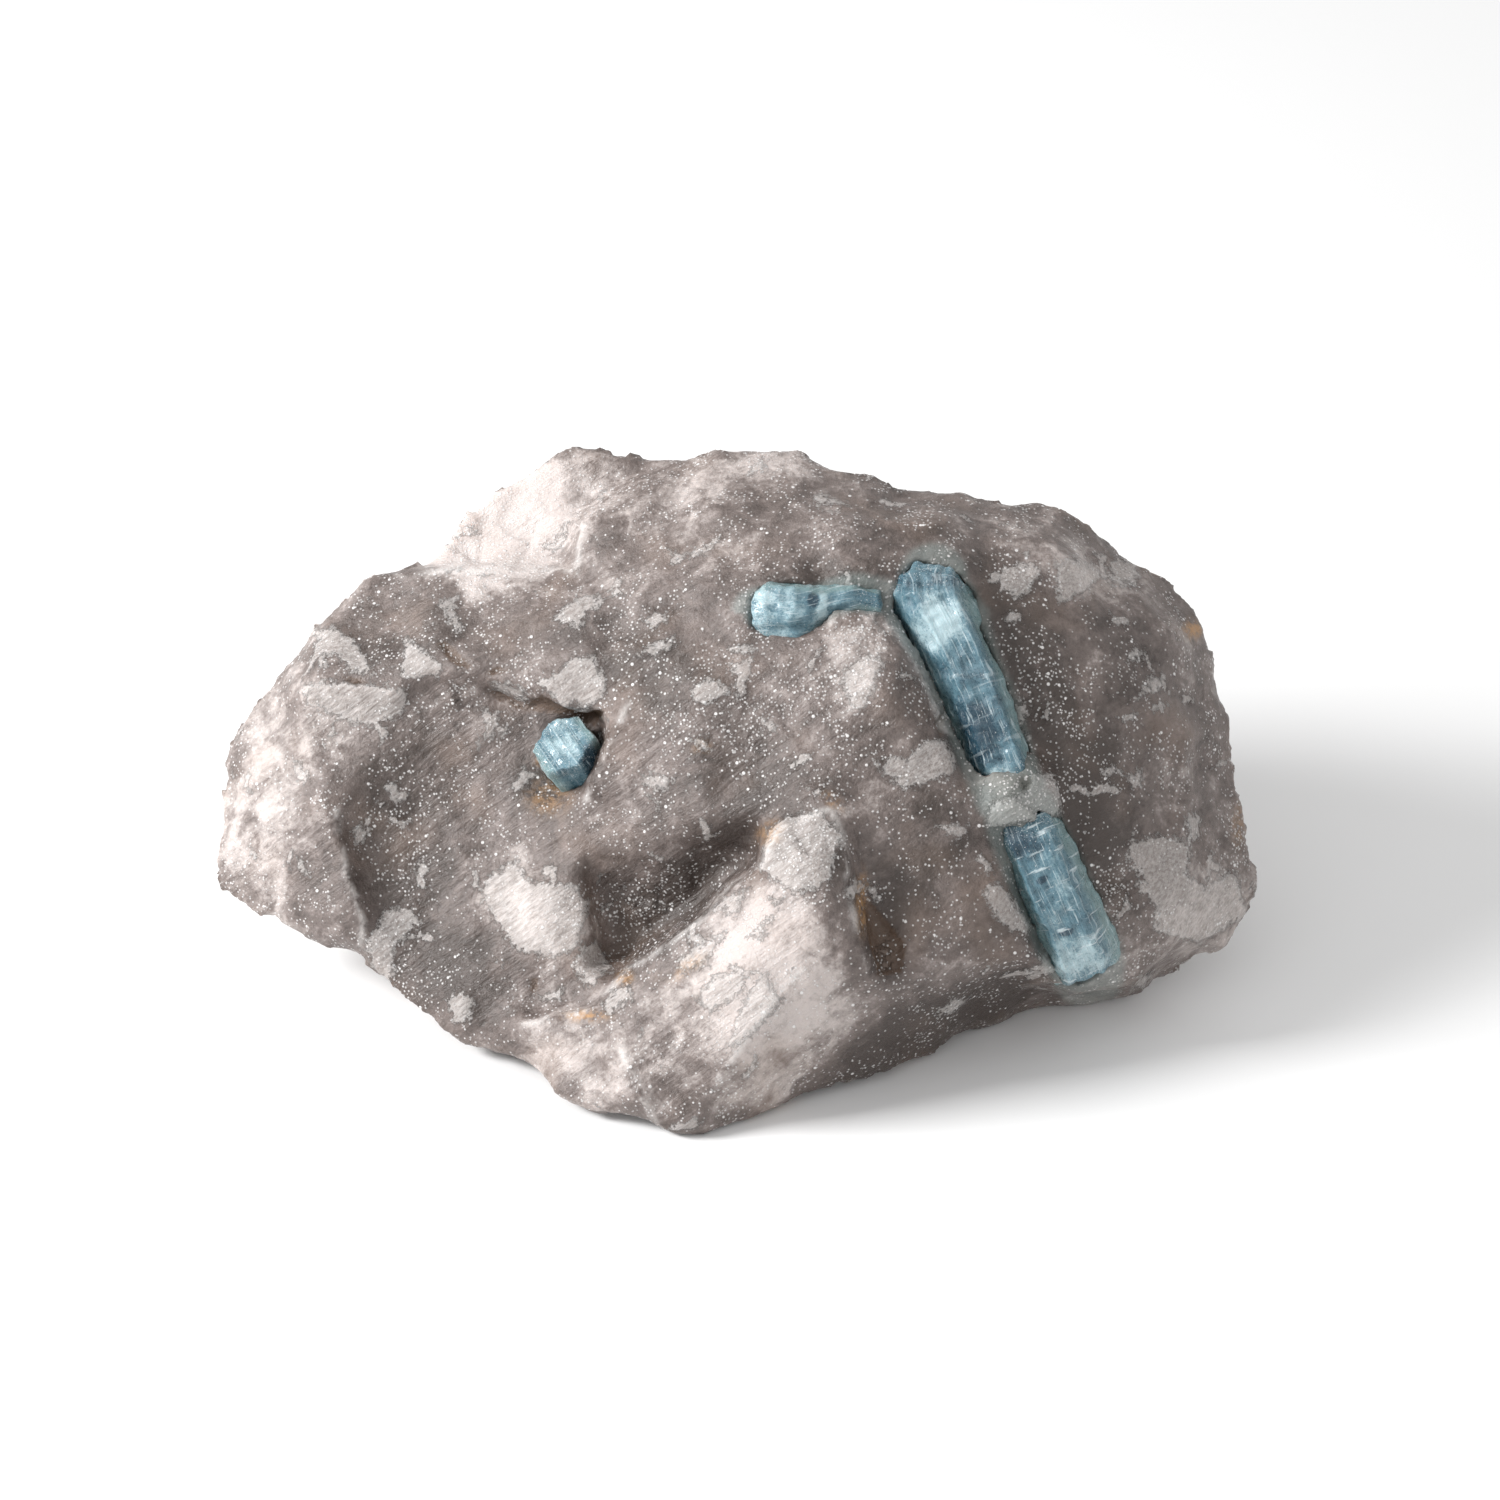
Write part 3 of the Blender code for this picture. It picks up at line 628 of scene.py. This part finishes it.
def quartz_finish():
    """Smoky rose quartz: milk clouds and streaks with painted light and shade, pale scales, brown
    hollows with painted shade, rust, and specks with painted glints.
    """
    f = Finish("smoky rose quartz")
    broad = f.noise(per_mm=0.055, detail=3.0, roughness=0.55)
    medium = f.noise(per_mm=0.24, detail=4.0, roughness=0.6, warp=0.6)
    fine = f.noise(per_mm=1.5, detail=4.0, roughness=0.7)
    streak_place = f.stretched(STREAK_TURN, STREAK_STRETCH)
    streaks = f.noise(per_mm=0.75, detail=5.0, roughness=0.65, place=streak_place)

    # The milky body, with the painted light and painted shade of the front's zones in it
    milk = f.value("milky")
    for pattern, width in ((broad, 1.9), (medium, 1.9), (streaks, 0.9), (fine, 1.0)):
        milk = f.plus(milk, f.swing(pattern, width))
    colour = f.blend(f.step(milk, -0.7, 0.35), SMOKE, ROSE_GREY)
    colour = f.blend(f.step(milk, 0.05, 1.0), colour, MILK_WHITE)
    warm = f.step(f.noise(per_mm=0.09), 0.5, 0.75)
    colour = f.tint(colour, warm, 0.25, TAN)

    # Scales with bright rims, and hollows painted brown with painted shade, both with ragged edges
    ragged = f.swing(f.noise(per_mm=1.0, detail=6.0, roughness=0.8), 5.5)
    scale_depth = f.plus(f.value("scale_depth"), ragged)
    in_scale = f.step(scale_depth, -0.15, 0.45)
    scale_rim = f.times(in_scale, f.step(scale_depth, 0.75, 0.25))
    fibres = f.noise(per_mm=2.6, detail=4.0, roughness=0.7, place=streak_place)
    scale_colour = f.blend(f.step(fibres, 0.35, 0.65), SCALE_GREY, SCALE_WHITE)
    colour = f.tint(colour, in_scale, 0.55, scale_colour)
    colour = f.tint(colour, scale_rim, 0.4, RIM_WHITE)
    hollow_brown_and_shade = f.step(f.plus(f.value("hollow_depth"), f.times(ragged, 0.3)), -0.2, 0.3)
    colour = f.tint(colour, hollow_brown_and_shade, 0.85, HOLLOW_BROWN_AND_PAINTED_SHADE)

    # Broken edges, rust, and the tint beside the crystals
    edge = f.times(f.value("bright_edge"), f.step(medium, 0.38, 0.6))
    colour = f.tint(colour, edge, 0.5, EDGE_WHITE)
    rust_grain = f.step(f.noise(per_mm=0.8, detail=4.0, roughness=0.7), 0.35, 0.6)
    colour = f.tint(colour, f.times(f.value("rusty"), rust_grain), 0.8, RUST)
    colour = f.tint(colour, f.value("crystal_halo"), 0.4, HALO_GREEN)

    # Specks, thicker in frosty places: white grains that also stand for painted glints
    patches = f.step(f.noise(per_mm=0.16, detail=3.0, roughness=0.6), 0.38, 0.7)
    frost = f.times(f.value("frosty"), 0.55)
    share = f.plus(f.math("MULTIPLY_ADD", patches, 0.42, 0.16), frost)
    small = f.times(f.specks(2.2, share, size=0.46), f.step(fine, 0.2, 0.7))
    large = f.specks(1.1, f.times(share, 0.45))
    speck = f.math("MAXIMUM", small, large)
    colour = f.tint(colour, speck, 0.9, SPECK_AND_PAINTED_GLINT_WHITE)

    # Light soaks into the milky body, and less into specks and rims
    bare = f.math("SUBTRACT", 1.0, f.math("MAXIMUM", speck, scale_rim))
    milkiness = f.plus(f.times(f.step(milk, -0.2, 0.9), 0.5), 0.5)
    f.surface({
        "Base Color": colour,
        "Roughness": f.plus(f.layered(((fine, 0.3), (in_scale, 0.08))), 0.20),
        "IOR": 1.54,
        "Subsurface Weight": f.times(f.times(bare, 0.45), milkiness),
        "Subsurface Radius": (1.0, 0.86, 0.78),
        "Subsurface Scale": QUARTZ_SOAK_METRES,
    })
    f.relief(f.layered(((fine, 0.22), (streaks, 0.5), (speck, 0.10), (in_scale, 0.18))))
    return f.material


def aquamarine_finish(name, paleness):
    """Blue beryl: fibres along the crystal, cracks across it, pale clouds, pale and dark zones with
    painted shade on the small crystal's right face, and a greenish margin.
    """
    f = Finish(name)
    along = f.value("along")
    around = f.value("around")
    fibre_place = f.joined(f.times(along, 0.16), f.times(around, 2.0))
    fibres = f.noise(per_mm=1.6, detail=4.0, roughness=0.65, place=fibre_place)
    crack_place = f.joined(f.times(along, 1.3), f.times(around, 0.25))
    cracks = f.noise(per_mm=0.9, detail=3.0, roughness=0.6, place=crack_place, warp=0.4)
    cloudy = f.noise(per_mm=0.3, detail=4.0, roughness=0.6)
    fine = f.noise(per_mm=2.2, detail=4.0, roughness=0.75)

    # Pale and dark zones and clouds; the dark zone on the small crystal's right face is painted shade
    pale = f.plus(f.value("pale"), f.swing(cloudy, 2.2))
    pale = f.plus(pale, f.swing(fine, 1.3))
    pale = f.plus(pale, paleness)
    colour = f.blend(f.step(pale, -0.6, 0.25), DEEP_BLUE, SEA_BLUE)
    colour = f.blend(f.step(pale, 0.2, 1.0), colour, ICE_BLUE)
    colour = f.tint(colour, f.value("margin"), 0.65, MARGIN_GREEN)
    colour = f.tint(colour, f.step(fibres, 0.55, 0.66), 0.6, SCRATCH_BLUE)
    crack = f.times(f.step(cracks, 0.58, 0.68), f.value("crossed"))
    colour = f.tint(colour, crack, 0.7, CRACK_BLUE)
    speck = f.specks(3.2, f.plus(f.times(f.value("frosty"), 0.6), 0.14))
    colour = f.tint(colour, speck, 0.6, GLINT_WHITE)
    f.surface({
        "Base Color": colour,
        "Roughness": f.plus(f.times(fine, 0.3), 0.14),
        "IOR": 1.58,
        "Subsurface Weight": 0.35,
        "Subsurface Radius": (0.6, 0.9, 1.0),
        "Subsurface Scale": AQUAMARINE_SOAK_METRES,
        "Coat Weight": 0.25,
    })
    f.relief(f.layered(((fibres, 0.30), (fine, 0.14), (speck, 0.06), (crack, 0.10))))
    return f.material


def crumble(places):
    """Blocky broken relief: each cell of a coarse pattern is a small tilted plane."""
    rise = np.empty(len(places))
    for number, place in enumerate(places / BLOCK_SIZE):
        _, points = noise.voronoi(Vector(place))
        middle = points[0]
        # The factor picks an unrelated tilt for each cell's middle
        rise[number] = noise.cell_vector(middle * 7.3).dot(Vector(place) - middle)
    return rise * BLOCK_SIZE


def crystal_halo(spots):
    """1 beside the crystals, falling off over the halo's width."""
    halo = np.zeros(len(spots))
    for node in HALO_CRYSTALS:
        turn, stations = CRYSTALS[node]
        _, middles, _ = prism_rings(turn, stations)
        way = looks(middles + SHIFT)[:, :2]
        radii = [station[3] for station in stations]
        # Read by height, so it is only rough for the side crystal, which lies level
        radius = np.interp(spots[:, 1], way[::-1, 1], radii[::-1])
        away = line_distance(spots, way)
        halo = np.maximum(halo, smoothly(away, radius + HALO_WIDTH, radius))
    return halo


def copy_of_lump():
    """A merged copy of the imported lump, free of its parent and its marks."""
    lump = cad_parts["quartz"]
    stone = lump.copy()
    stone.data = lump.data.copy()
    stone.name = "quartz_stone"
    stone.parent = None
    for key in list(stone.keys()):
        del stone[key]
    bpy.context.scene.collection.objects.link(stone)
    only(stone)
    bpy.ops.object.mode_set(mode="EDIT")
    bpy.ops.mesh.select_all(action="SELECT")
    bpy.ops.mesh.remove_doubles(threshold=MERGE_METRES)
    bpy.ops.object.mode_set(mode="OBJECT")
    return stone


def shape_quartz():
    """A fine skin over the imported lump, with scales, hollows, edges and rough breaks."""
    stone = copy_of_lump()
    fine_skin(stone, QUARTZ_GRAIN, rounds=4)
    places = corner_vectors(stone, "co") / MM
    normals = corner_vectors(stone, "normal")
    spots = looks(places)[:, :2]
    facing = smoothly(normals @ TO_VIEWER, FACING_STARTS, FACING_FULL)
    behind = 1.0 - facing
    in_front = facing > IN_FRONT

    # What the front shows, and the same in other places behind
    scales = np.where(in_front, deepest(spots, FLAKES), FAR_OUTSIDE)
    others = scattered_scales(places, normals)
    others = np.where(in_front, others - SHRUNK_IN_FRONT, others - SHRUNK_BEHIND)
    scale_depth = np.clip(np.maximum(scales, others), -DEPTH_REACH, DEPTH_REACH)
    hollow_depth = np.where(in_front, deepest(spots, HOLLOWS), FAR_OUTSIDE)
    edges = np.zeros(len(places))
    for line in BRIGHT_EDGES:
        edges = np.maximum(edges, np.exp(-(line_distance(spots, line) / EDGE_WIDTH) ** 2))
    edges *= facing
    # The front's zones: milk and smoke, with painted light and painted shade among them
    milky = 1.3 * zones(spots, MILK_SMOKE_AND_PAINTED_SHADING) * facing
    milky += behind * 0.45 * cloud(places, size=22.0, seed=3.0)
    frost_in_front = zones(spots, FROSTY) * facing
    frosty = frost_in_front + behind * smoothly(cloud(places, size=14.0, seed=8.0), 0.0, 0.5) * 0.7
    rusty = zones(spots, RUSTY) * facing
    rusty = rusty + behind * smoothly(cloud(places, size=12.0, seed=21.0), 0.42, 0.6) * 0.6

    # Relief, which fades out towards the resting face
    broken = smoothly(frost_in_front + behind * 0.6, 0.1, 0.7)
    rough = LEAST_BROKEN + (1.0 - LEAST_BROKEN) * broken
    lumpy = LEAST_LUMPY + (1.0 - LEAST_LUMPY) * rough
    rise = BLOCK_RISE * crumble(places) * rough
    rise += LUMP_RISE * cloud(places, LUMP_SIZE) * lumpy + GRIT_RISE * cloud(places, GRIT_SIZE, seed=5.0)
    rise += SCALE_RISE * smoothly(scale_depth, -0.5, 0.5)
    rise -= HOLLOW_DROP * smoothly(hollow_depth, -0.2, 0.9)
    rise += EDGE_RISE * edges
    rise *= smoothly(places[:, 2], 0.2, 2.0)
    put_places(stone, places + normals * rise[:, None])

    keep_values(
        stone, milky=milky, frosty=np.clip(frosty, 0.0, 1.0), rusty=np.clip(rusty, 0.0, 1.0),
        scale_depth=scale_depth, hollow_depth=np.clip(hollow_depth, -DEPTH_REACH, DEPTH_REACH),
        bright_edge=edges, crystal_halo=crystal_halo(spots) * facing)
    stone.data.materials.clear()
    stone.data.materials.append(quartz_finish())
    only(stone)
    bpy.ops.object.shade_smooth()
    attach(stone, "root")
    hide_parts("quartz")


def turned_to(along, first_corner):
    """The turn that puts a flat ring across a direction, with its first corner where given."""
    across = np.cross(first_corner, along)
    return Matrix(np.column_stack((across, first_corner, along)).tolist()).to_euler()


def draw_prism(name, first, middles, alongs, radii):
    """A six-sided prism that is drawn out from ring to ring, from its first corner."""
    size = np.linalg.norm(first)
    bpy.ops.object.select_all(action="DESELECT")
    bpy.ops.mesh.primitive_circle_add(
        vertices=SIDES, radius=float(size) * MM, fill_type="NGON",
        location=middles[0] * MM, rotation=turned_to(alongs[0], first / size))
    crystal = bpy.context.object
    crystal.name = name
    bpy.ops.object.transform_apply(location=True, rotation=True, scale=True)
    bpy.ops.object.mode_set(mode="EDIT")
    bpy.ops.mesh.select_all(action="SELECT")
    for before, after, old, new in zip(middles, middles[1:], radii, radii[1:]):
        step = Vector((after - before) * MM)
        bpy.ops.mesh.extrude_region_move(TRANSFORM_OT_translate={"value": step})
        bpy.ops.transform.resize(value=(new / old,) * 3, center_override=Vector(after * MM))
    bpy.ops.mesh.select_all(action="SELECT")
    bpy.ops.mesh.normals_make_consistent(inside=False)
    bpy.ops.object.mode_set(mode="OBJECT")
    return crystal


def lie_along(places, middles, direction):
    """How far along a crystal places lie, how far to its side, and how far along its middles are."""
    edge = np.diff(middles, axis=0)
    lengths = np.concatenate(((0.0,), np.cumsum(np.linalg.norm(edge, axis=1))))
    share = ((places[:, None] - middles[:-1]) * edge).sum(2) / (edge * edge).sum(1)
    share = np.clip(share, 0.0, 1.0)
    closest = middles[:-1] + share[..., None] * edge
    nearest = np.linalg.norm(places[:, None] - closest, axis=2).argmin(1)
    row = np.arange(len(places))
    along = lengths[nearest] + share[row, nearest] * np.diff(lengths)[nearest]
    side = np.cross(direction, TO_VIEWER)
    side /= np.linalg.norm(side)
    around = (places - closest[row, nearest]) @ side
    return along, around, lengths


def shape_crystal(node, name, paleness, crossed):
    """A crystal drawn out again, a little wider than its solid, then worn and fluted."""
    turn, stations = CRYSTALS[node]
    rings, middles, alongs = prism_rings(turn, stations, CRYSTAL_SWELL)
    first = rings[0][0] - middles[0]
    middles = middles + SHIFT
    radii = np.array([station[3] for station in stations])
    crystal = draw_prism(name, first, middles, alongs, radii + CRYSTAL_SWELL)
    fine_skin(crystal, CRYSTAL_GRAIN, rounds=2)
    places = corner_vectors(crystal, "co") / MM
    normals = corner_vectors(crystal, "normal")
    along, around, lengths = lie_along(places, middles, alongs[len(alongs) // 2])

    flute_places = (along * FLUTES_ALONG, around * FLUTES_AROUND, np.zeros_like(around))
    rise = FLUTE_DEPTH * cloud(np.column_stack(flute_places), size=1.0, seed=2.0)
    rise = rise + DENT_DEPTH * cloud(places, DENT_SIZE)
    rise = rise + SWELL_DEPTH * cloud(places, SWELL_SIZE, seed=9.0) - WORN_OFF
    put_places(crystal, places + normals * rise[:, None])

    widest = np.interp(along, lengths, radii)
    ends = np.minimum(along, lengths[-1] - along)
    keep_values(
        crystal, along=along, around=around, pale=zones(looks(places)[:, :2], PALE_DARK_AND_PAINTED_SHADE),
        margin=smoothly(np.abs(around) / widest, 0.62, 0.95),
        crossed=np.full(len(places), crossed), frosty=smoothly(ends, 5.0, 0.5))
    crystal.data.materials.append(aquamarine_finish(name + " beryl", paleness))
    only(crystal)
    bpy.ops.object.shade_smooth()
    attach(crystal, "root")
    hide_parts(node)


def lay_floor():
    """A matt white floor, just below the resting face."""
    bpy.ops.object.select_all(action="DESELECT")
    bpy.ops.mesh.primitive_plane_add(size=FLOOR_METRES, location=(0.0, 0.0, -FLOOR_DROP_METRES))
    floor = bpy.context.object
    floor.name = "floor"
    f = Finish("matt white floor")
    f.surface({
        "Base Color": (0.9, 0.9, 0.9, 1.0),
        "Roughness": 0.9,
        "Specular IOR Level": 0.1,
    })
    floor.data.materials.append(f.material)


def light_softly():
    """White all round, and a window on the left that gives the soft shadow."""
    world = bpy.data.worlds.new("white studio")
    world.use_nodes = True
    backdrop = world.node_tree.nodes["Background"]
    backdrop.inputs["Color"].default_value = (1.0, 1.0, 1.0, 1.0)
    backdrop.inputs["Strength"].default_value = STUDIO_GLOW
    bpy.context.scene.world = world
    lamp = bpy.data.lights.new("window from the left", "AREA")
    lamp.size = WINDOW_METRES
    lamp.energy = WINDOW_WATTS
    window = bpy.data.objects.new("window from the left", lamp)
    window.location = WINDOW_PLACE_METRES
    aim = Vector(WINDOW_AIM_METRES) - window.location
    window.rotation_euler = aim.to_track_quat("-Z", "Y").to_euler()
    bpy.context.scene.collection.objects.link(window)


def look_from_viewing_side():
    """The camera, placed so that the landmarks look as they are written."""
    lens = bpy.data.cameras.new("camera")
    lens.sensor_width = SENSOR
    lens.lens = SENSOR * VIEW_DISTANCE / PHOTO_WIDTH_AT_STONE
    camera = bpy.data.objects.new("camera", lens)
    middle = RIGHT * PHOTO_MIDDLE[0] + UP * PHOTO_MIDDLE[1] + TO_VIEWER * VIEW_DISTANCE
    camera.location = (middle + SHIFT + np.array((0.0, 0.0, VIEW_HEIGHT))) * MM
    camera.rotation_euler = (math.pi / 2 - VIEW_TILT, 0.0, 0.0)
    bpy.context.scene.collection.objects.link(camera)
    bpy.context.scene.camera = camera


shape_quartz()
for crystal_piece in CRYSTAL_PIECES:
    shape_crystal(*crystal_piece)
lay_floor()
light_softly()
look_from_viewing_side()
bpy.context.scene.view_settings.view_transform = "Standard"
